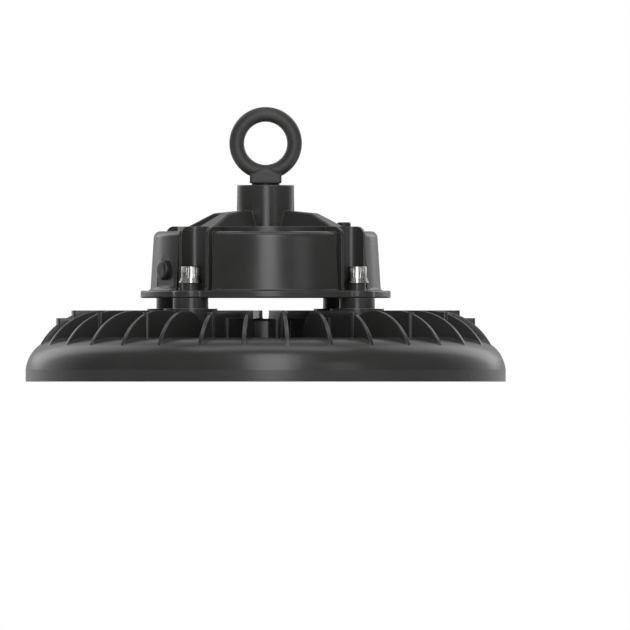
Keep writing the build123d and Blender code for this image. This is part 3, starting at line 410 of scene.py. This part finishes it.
def light_board(settings):
    """White board mask with the darker conductor rings between the chips showing through."""
    finish = Finish("light_board")
    turns = (finish.radius() - settings.first_ring) * (2 * pi / settings.pitch)
    ring = finish.between(finish.maths("SINE", turns, 0.0), low=0.86, high=0.93)
    speck = finish.noise(size=0.0015)
    return finish.surface({
        "Base Color": finish.mix(ring * 0.5 + speck * 0.1, settings.board, settings.conductor),
        "Roughness": finish.around(middle=0.39, swing=0.1, mask=speck),
        "Normal": finish.bump(ring, depth=0.00003, normal=finish.edge_normal(radius=0.0002)),
    })


def circuit_board(settings):
    """Green board mask with a faint grid of tracks."""
    finish = Finish("circuit_board")
    tracks = finish.node("ShaderNodeTexBrick", {}, {
        "Vector": finish.place, "Scale": 300.0, "Mortar Size": 0.06, "Color1": (*settings.mask, 1.0),
        "Color2": (*settings.mask_light, 1.0), "Mortar": (*settings.track, 1.0)}, "Color")
    raised = finish.node("ShaderNodeRGBToBW", {}, {"Color": tracks}, "Val")
    return finish.surface({
        "Base Color": tracks,
        "Roughness": finish.around(middle=0.31, swing=0.1, mask=finish.noise(size=0.003)),
        "Normal": finish.bump(raised, depth=0.00004, normal=finish.edge_normal(radius=0.0002)),
    })


def clear_lens(settings):
    """Clear moulded plastic with a faintly uneven surface."""
    finish = Finish("clear_lens")
    flow = finish.noise(size=0.01)
    return finish.surface({
        "Base Color": finish.tones(flow, settings.tint, dark=0.97),
        "Transmission Weight": 1.0,
        "IOR": 1.49,
        "Roughness": finish.around(settings.roughness, swing=0.06, mask=flow),
        "Normal": finish.bump(flow, depth=0.00003, normal=finish.edge_normal(radius=0.0003)),
    })


def windings(name, colour, turns):
    """Enamelled wire wound round, as fine ribs about the upright axis."""
    finish = Finish(name)
    ribs = finish.node("ShaderNodeTexWave", {"bands_direction": "Z", "wave_profile": "SIN"},
                       {"Vector": finish.place, "Scale": turns, "Distortion": 0.4, "Detail": 1.0}, "Fac")
    return finish.surface({
        # Darker in the grooves between turns and lighter on the crests: painted shade and painted highlight.
        "Base Color": finish.tones(ribs, colour, dark=0.6),
        "Metallic": 0.7,
        "Roughness": finish.around(middle=0.33, swing=0.1, mask=ribs),
        "Normal": finish.bump(ribs, depth=0.00015, normal=finish.edge_normal(radius=0.0003)),
    })


# Mesh helpers

def dress(material, *names):
    """Gives CAD nodes a finish."""
    for name in names:
        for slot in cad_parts[name].material_slots:
            slot.material = material


def open_edit(name):
    """Names the primitive that was just added and opens it for editing, with nothing selected."""
    piece = bpy.context.object
    piece.name = name
    piece.data.name = name
    bpy.ops.object.mode_set(mode="EDIT")
    bpy.ops.mesh.select_all(action="DESELECT")
    return piece


def pick_faces(piece, test):
    """Selects the faces that pass a test on their centre and normal, and no others."""
    bpy.ops.mesh.select_mode(type="FACE")
    bpy.ops.mesh.select_all(action="DESELECT")
    shape = bmesh.from_edit_mesh(piece.data)
    for face in shape.faces:
        face.select_set(test(face.calc_center_median(), face.normal))
    shape.select_flush_mode()
    bmesh.update_edit_mesh(piece.data)


def pick_edges(piece, test):
    """Selects the edges that pass a test on their two ends, and no others."""
    bpy.ops.mesh.select_mode(type="EDGE")
    bpy.ops.mesh.select_all(action="DESELECT")
    shape = bmesh.from_edit_mesh(piece.data)
    for edge in shape.edges:
        edge.select_set(test(edge.verts[0].co, edge.verts[1].co))
    bmesh.update_edit_mesh(piece.data)


def close_edit():
    """Leaves edit mode."""
    bpy.ops.object.mode_set(mode="OBJECT")


def alone(piece):
    """Selects one object and makes it the active one."""
    bpy.ops.object.select_all(action="DESELECT")
    piece.select_set(True)
    bpy.context.view_layer.objects.active = piece


def cut_with(piece, cutter):
    """Cuts one object out of another and deletes the cutter."""
    alone(piece)
    cut = piece.modifiers.new("cut", "BOOLEAN")
    cut.operation = "DIFFERENCE"
    cut.solver = "EXACT"
    cut.object = cutter
    bpy.ops.object.modifier_apply(modifier="cut")
    bpy.data.objects.remove(cutter)


def cylinder(sides, radius, low, high):
    """Adds an upright cylinder between two heights on the axis."""
    bpy.ops.object.select_all(action="DESELECT")
    bpy.ops.mesh.primitive_cylinder_add(vertices=sides, radius=radius, depth=high - low,
                                        location=(0.0, 0.0, (low + high) / 2))
    bpy.ops.object.transform_apply(location=True, rotation=True, scale=True)
    return bpy.context.object


def copy_to(piece, places):
    """Copies a piece to each place, each copy with its own mesh, and joins them all into one."""
    copies = []
    for place in places:
        alone(piece)
        bpy.ops.object.duplicate(linked=False)
        made = bpy.context.object
        made.matrix_world = place
        copies.append(made)
    name = piece.name
    bpy.data.objects.remove(piece)
    alone(copies[0])
    for made in copies:
        made.select_set(True)
    bpy.ops.object.transform_apply(location=True, rotation=True, scale=True)
    bpy.ops.object.join()
    joined = bpy.context.object
    joined.name = name
    joined.data.name = name
    return joined


def settle(piece, material, slot, *nodes):
    """Smooths a finished piece, gives it its finish and lets it stand for its CAD nodes."""
    alone(piece)
    bpy.ops.object.shade_smooth_by_angle(angle=radians(35))
    if not piece.data.materials:
        piece.data.materials.append(material)
    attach(piece, BODY)
    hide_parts(*nodes)


# Operators

class HIGHBAY_OT_castings(Operator):
    """Powder coats the heat sink, the driver housing and the lens ring"""
    bl_idname = "highbay.castings"
    bl_label = "Castings"

    def execute(self, context):
        dress(powder_coat(context.scene.highbay_casting), "heat_sink", "driver_housing", "lens_ring")
        return {"FINISHED"}


class HIGHBAY_OT_lifting_ring(Operator):
    """Paints the lifting ring"""
    bl_idname = "highbay.lifting_ring"
    bl_label = "Lifting ring"

    def execute(self, context):
        dress(ring_paint(context.scene.highbay_ring), "lifting_ring")
        return {"FINISHED"}


class HIGHBAY_OT_fasteners(Operator):
    """Makes the knurled socket screws of the housing and plates all screws and washers"""
    bl_idname = "highbay.fasteners"
    bl_label = "Screws and washers"

    def execute(self, context):
        settings = context.scene.highbay_screw
        plating = zinc(settings)
        dress(plating, "spring_washers", "flat_washers", "base_screws", "board_screws", "led_board_screws",
              "lens_screws")
        dress(moulded("black_oxide", settings.oxide, roughness=0.4), "ring_washer", "locking_screw")
        settle(self.screws(settings), plating, "zinc", "housing_screws")
        return {"FINISHED"}

    def screws(self, settings):
        """One screw with a knurled head and a hexagon socket, copied to the four wells."""
        head = cylinder(settings.ridges * 2, settings.head_radius, 0.0, settings.head_height)
        open_edit("socket_screws")
        pick_edges(head, lambda a, b: min(a.z, b.z) > settings.head_height - TOUCH)
        bpy.ops.mesh.bevel(offset=settings.head_round, segments=3)
        close_edit()
        key_corner = settings.key_width / 2 / cos(pi / 6)
        key_foot = settings.head_height - settings.key_depth
        cut_with(head, cylinder(6, key_corner, key_foot, settings.head_height * 1.5))
        open_edit("socket_screws")
        side = pi / settings.ridges

        def every_other_side(centre, normal):
            """Whether a face is a side of the head that is pressed in."""
            if abs(normal.z) > 1 - FACING or centre.xy.length < settings.head_radius * 0.9:
                return False
            return round(centre.xy.angle_signed(Vector((1, 0))) / side - 0.5) % 2 == 0

        pick_faces(head, every_other_side)
        bpy.ops.mesh.inset(thickness=settings.groove_wall, depth=-settings.groove, use_individual=True)
        pick_faces(head, lambda centre, normal: normal.z < -FACING and centre.z < TOUCH)
        bpy.ops.mesh.inset(thickness=settings.head_radius - settings.shank_radius)
        bpy.ops.mesh.extrude_region_move(TRANSFORM_OT_translate={"value": (0, 0, -settings.shank_length)})
        close_edit()
        places = [Matrix.Rotation(TURN + 2 * pi * (k + 0.5) / WELLS, 4, "Z")
                  @ Matrix.Translation((settings.circle, 0.0, settings.head_foot)) for k in range(WELLS)]
        return copy_to(head, places)


class HIGHBAY_OT_plugs(Operator):
    """Finishes the vent plug, the blanking plug and the rubber seals"""
    bl_idname = "highbay.plugs"
    bl_label = "Plugs and seals"

    def execute(self, context):
        settings = context.scene.highbay_plug
        dress(moulded("plug_plastic", settings.plastic, settings.roughness, grain=0.0008, relief=0.00002),
              "vent_plug", "blanking_plug")
        dress(moulded("black_rubber", settings.rubber, roughness=0.72, grain=0.0009, relief=0.00004),
              "vent_seal", "cable_gland_seal", "lead_sleeve")
        dress(moulded("grey_silicone", settings.silicone, roughness=0.62, grain=0.0012),
              "base_gasket", "lens_gasket", "thermal_pad")
        return {"FINISHED"}


class HIGHBAY_OT_cable_gland(Operator):
    """Makes the domed cap nut of the cable gland"""
    bl_idname = "highbay.cable_gland"
    bl_label = "Cable gland"

    def execute(self, context):
        settings = context.scene.highbay_gland
        plastic = moulded("gland_plastic", settings.plastic, settings.roughness, grain=0.0007,
                          relief=0.00004)
        dress(plastic, "cable_gland_body")
        settle(self.nut(settings), plastic, "black_plastic", "cable_gland_nut")
        return {"FINISHED"}

    def nut(self, settings):
        """A six sided nut with round corners, a domed end and stepped bores."""
        nut = cylinder(6, settings.across / 2 / cos(pi / 6), 0.0, settings.nut_length)
        open_edit("gland_cap_nut")
        pick_edges(nut, lambda a, b: abs(a.z - b.z) > settings.nut_length / 2)
        bpy.ops.mesh.bevel(offset=settings.corner, segments=5)
        pick_faces(nut, lambda centre, normal: normal.z > FACING)
        steps = 7
        narrowing, rounding = radians(50), pi / 2
        for step in range(1, steps + 1):
            low, high = (step - 1) / steps, step / steps
            width = cos(high * narrowing) / cos(low * narrowing)
            rise = settings.dome_length * (sin(high * rounding) - sin(low * rounding))
            bpy.ops.mesh.extrude_region_move(TRANSFORM_OT_translate={"value": (0, 0, rise)})
            bpy.ops.transform.resize(value=(width, width, 1.0))
        close_edit()
        before, past = -0.001, settings.nut_length + settings.dome_length * 2
        bore_sides = 64
        for radius, depth in ((settings.neck_radius, settings.neck_length),
                              (settings.seal_radius, settings.seal_length),
                              (settings.mouth_radius, past)):
            cut_with(nut, cylinder(bore_sides, radius, before, depth))
        out = TURN + pi / 2
        nut.matrix_world = (Matrix.Translation((settings.reach * cos(out), settings.reach * sin(out),
                                                settings.height))
                            @ Matrix.Rotation(out, 4, "Z") @ Matrix.Rotation(pi / 2, 4, "Y"))
        alone(nut)
        bpy.ops.object.transform_apply(location=True, rotation=True, scale=True)
        return nut


class HIGHBAY_OT_light_engine(Operator):
    """Makes the light chips and finishes the board that carries them"""
    bl_idname = "highbay.light_engine"
    bl_label = "Light engine"

    def execute(self, context):
        settings = context.scene.highbay_chip
        dress(light_board(settings), "led_board")
        case = moulded("chip_case", settings.case, roughness=0.35, relief=0.00001, edge=0.0001)
        phosphor = moulded("chip_phosphor", settings.phosphor, roughness=0.25, grain=0.0003, relief=0.00001,
                           edge=0.0001)
        settle(self.chips(settings, case, phosphor), case, "yellow_chip", "led_chips")
        return {"FINISHED"}

    def chips(self, settings, case, phosphor):
        """One chip with a sunken yellow square, copied to its rings on the board."""
        bpy.ops.object.select_all(action="DESELECT")
        bpy.ops.mesh.primitive_cube_add(size=1.0, location=(0.0, 0.0, -settings.height / 2),
                                        scale=(settings.width, settings.width, settings.height))
        bpy.ops.object.transform_apply(location=True, rotation=True, scale=True)
        chip = open_edit("light_chips")
        chip.data.materials.append(case)
        chip.data.materials.append(phosphor)
        pick_faces(chip, lambda centre, normal: normal.z < -FACING)
        bpy.ops.mesh.inset(thickness=settings.border)
        bpy.ops.mesh.extrude_region_move(TRANSFORM_OT_translate={"value": (0, 0, settings.recess)})
        chip.active_material_index = 1
        bpy.ops.object.material_slot_assign()
        close_edit()
        places = []
        for ring in range(settings.rings):
            radius = settings.first_ring + settings.pitch * ring
            count = settings.count * (ring + 1)
            for k in range(count):
                places.append(Matrix.Rotation(TURN + 2 * pi * (k + 0.5) / count, 4, "Z")
                              @ Matrix.Translation((radius, 0.0, settings.top)))
        return copy_to(chip, places)


class HIGHBAY_OT_lens(Operator):
    """Makes the lens plate clear"""
    bl_idname = "highbay.lens"
    bl_label = "Lens"

    def execute(self, context):
        dress(clear_lens(context.scene.highbay_lens), "lens_plate")
        return {"FINISHED"}


class HIGHBAY_OT_driver(Operator):
    """Finishes the driver inside the housing"""
    bl_idname = "highbay.driver"
    bl_label = "Driver"

    def execute(self, context):
        settings = context.scene.highbay_driver
        dress(circuit_board(settings), "driver_board")
        dress(moulded("spacer_brass", settings.brass, roughness=0.3, metallic=1.0), "board_spacers")
        dress(moulded("ferrite", settings.ferrite, roughness=0.45, grain=0.0004, relief=0.00004),
              "transformer_core")
        dress(windings("coil_tape", settings.tape, turns=90.0), "transformer_coil")
        dress(windings("copper_wire", settings.wire, turns=260.0), "filter_choke")
        dress(moulded("can_sleeve", settings.can, roughness=0.25), "bulk_capacitors")
        dress(moulded("film_box", settings.film, roughness=0.3), "film_capacitor")
        dress(moulded("block_green", settings.block, roughness=0.42), "terminal_block")
        dress(moulded("transistor_black", settings.transistor, roughness=0.5), "power_transistors")
        dress(moulded("lead_skin", settings.lead, roughness=0.5), "output_leads")
        return {"FINISHED"}


class HIGHBAY_OT_sheet_parts(Operator):
    """Finishes the base cover and the heat spreader"""
    bl_idname = "highbay.sheet_parts"
    bl_label = "Sheet parts"

    def execute(self, context):
        settings = context.scene.highbay_sheet
        dress(brushed_sheet("rolled_aluminium", settings.aluminium), "base_cover", "heat_spreader")
        return {"FINISHED"}


class HIGHBAY_OT_studio(Operator):
    """Sets up the floor, the background, the lamps and the camera"""
    bl_idname = "highbay.studio"
    bl_label = "Studio"

    def execute(self, context):
        settings = context.scene.highbay_studio
        self.floor(settings)
        self.room(context.scene, settings)
        self.lamp("top_lamp", start=(-0.5, -0.1, 1.2), end=(0.5, -0.1, 1.2), width=0.4, power=settings.top)
        self.lamp("front_lamp", start=(0.06, -1.3, 0.0), end=(0.06, -0.65, 1.15), width=0.34,
                  power=settings.front)
        for name, side in (("left_lamp", -1), ("right_back_lamp", 1)):
            self.lamp(name, start=(side * 0.62, 0.12, 1.15), end=(side * 0.75, 1.15, 0.15), width=0.4,
                      power=settings.sides)
        self.lamp("right_lamp", start=(0.78, -1.04, 0.1), end=(0.78, -1.04, 0.8), width=0.36,
                  power=settings.right)
        self.camera(context.scene, settings)
        return {"FINISHED"}

    def floor(self, settings):
        """A plain pale floor, a hair below the rim so that the two never share a plane."""
        bpy.ops.object.select_all(action="DESELECT")
        bpy.ops.mesh.primitive_plane_add(size=6.0, location=(0.0, 0.0, -0.0002))
        bpy.ops.object.transform_apply(location=True, rotation=True, scale=True)
        floor = bpy.context.object
        floor.name = "floor"
        finish = Finish("floor_paint")
        cloud = finish.noise(size=0.4)
        floor.data.materials.append(finish.surface({
            "Base Color": finish.tones(cloud, settings.floor, dark=0.985),
            "Roughness": 0.6,
        }))

    def room(self, scene, settings):
        """White to the camera, grey on dull surfaces, and in reflections bright behind and dark in front."""
        world = bpy.data.worlds.new("room")
        world.use_nodes = True
        shading = Shading(world.node_tree)
        camera = shading.node("ShaderNodeLightPath", {}, {}, "Is Camera Ray")
        mirrored = shading.maths("MAXIMUM", camera.out("Is Glossy Ray"), camera.out("Is Transmission Ray"))
        facing = shading.node("ShaderNodeTexCoord", {}, {}, "Generated")
        back = shading.node("ShaderNodeSeparateXYZ", {}, {"Vector": facing}, "Y")
        # From a reflection of the room's sides, at nothing, to one of what is straight behind, at one
        stops = ((0.2, settings.dark), (0.7, settings.glow), (0.82, settings.glow), (1.0, settings.backdrop))
        shade = shading.node("ShaderNodeValToRGB", {"stops": stops}, {"Fac": back}, "Color")
        white, grey = (
            shading.node("ShaderNodeBackground", {},
                         {"Color": (1.0, 1.0, 1.0, 1.0), "Strength": strength}, "Background")
            for strength in (shading.maths("MAXIMUM", camera, shade), settings.fill))
        seen = shading.maths("MAXIMUM", camera, mirrored)
        choice = shading.node("ShaderNodeMixShader", {}, {"Fac": seen, 1: grey, 2: white}, "Shader")
        shading.node("ShaderNodeOutputWorld", {}, {"Surface": choice})
        scene.world = world

    def lamp(self, name, start, end, width, power):
        """A long soft lamp between two points, which faces the light."""
        start, end = Vector(start), Vector(end)
        middle = (start + end) / 2
        along = (end - start).normalized()
        back = along.cross((middle - AIM).cross(along)).normalized()
        bpy.ops.object.light_add(type="AREA", location=middle)
        lamp = bpy.context.object
        lamp.name = name
        lamp.data.shape = "RECTANGLE"
        lamp.data.size = width
        lamp.data.size_y = (end - start).length
        lamp.data.energy = power
        lamp.rotation_euler = Matrix((along.cross(back), along, back)).transposed().to_euler()
        lamp.visible_camera = False

    def camera(self, scene, settings):
        """A level camera straight in front, with no perspective."""
        bpy.ops.object.camera_add(location=(settings.centre_x, -settings.distance, settings.centre_z),
                                  rotation=(pi / 2, 0.0, 0.0))
        camera = bpy.context.object
        camera.name = "camera"
        camera.data.type = "ORTHO"
        camera.data.ortho_scale = settings.frame_width
        camera.data.clip_end = 10.0
        scene.camera = camera
        scene.view_settings.view_transform = "Standard"


class HIGHBAY_PT_sidebar(Panel):
    """Lists the light's pieces and their settings in the sidebar"""
    bl_idname = "HIGHBAY_PT_sidebar"
    bl_label = "High Bay Light"
    bl_space_type = "VIEW_3D"
    bl_region_type = "UI"
    bl_category = "High Bay"

    def draw(self, context):
        for operator, group in STEPS:
            box = self.layout.box()
            box.operator(operator.bl_idname)
            settings = getattr(context.scene, group)
            for key in settings.__annotations__:
                box.prop(settings, key)


GROUPS = {
    "highbay_casting": CastingSettings,
    "highbay_ring": RingSettings,
    "highbay_screw": ScrewSettings,
    "highbay_plug": PlugSettings,
    "highbay_gland": GlandSettings,
    "highbay_chip": ChipSettings,
    "highbay_lens": LensSettings,
    "highbay_driver": DriverSettings,
    "highbay_sheet": SheetSettings,
    "highbay_studio": StudioSettings,
}
STEPS = (
    (HIGHBAY_OT_castings, "highbay_casting"),
    (HIGHBAY_OT_lifting_ring, "highbay_ring"),
    (HIGHBAY_OT_fasteners, "highbay_screw"),
    (HIGHBAY_OT_plugs, "highbay_plug"),
    (HIGHBAY_OT_cable_gland, "highbay_gland"),
    (HIGHBAY_OT_light_engine, "highbay_chip"),
    (HIGHBAY_OT_lens, "highbay_lens"),
    (HIGHBAY_OT_driver, "highbay_driver"),
    (HIGHBAY_OT_sheet_parts, "highbay_sheet"),
    (HIGHBAY_OT_studio, "highbay_studio"),
)


def register():
    """Registers the settings, the operators and the panel."""
    for name, group in GROUPS.items():
        bpy.utils.register_class(group)
        setattr(bpy.types.Scene, name, PointerProperty(type=group))
    for operator, _ in STEPS:
        bpy.utils.register_class(operator)
    bpy.utils.register_class(HIGHBAY_PT_sidebar)


def unregister():
    """Removes all that register added."""
    bpy.utils.unregister_class(HIGHBAY_PT_sidebar)
    for operator, _ in reversed(STEPS):
        bpy.utils.unregister_class(operator)
    for name, group in reversed(GROUPS.items()):
        delattr(bpy.types.Scene, name)
        bpy.utils.unregister_class(group)


def main():
    """Runs every step in order."""
    register()
    for operator, _ in STEPS:
        area, name = operator.bl_idname.split(".")
        getattr(getattr(bpy.ops, area), name)()
    bpy.context.view_layer.update()


if __name__ == "__main__":
    main()
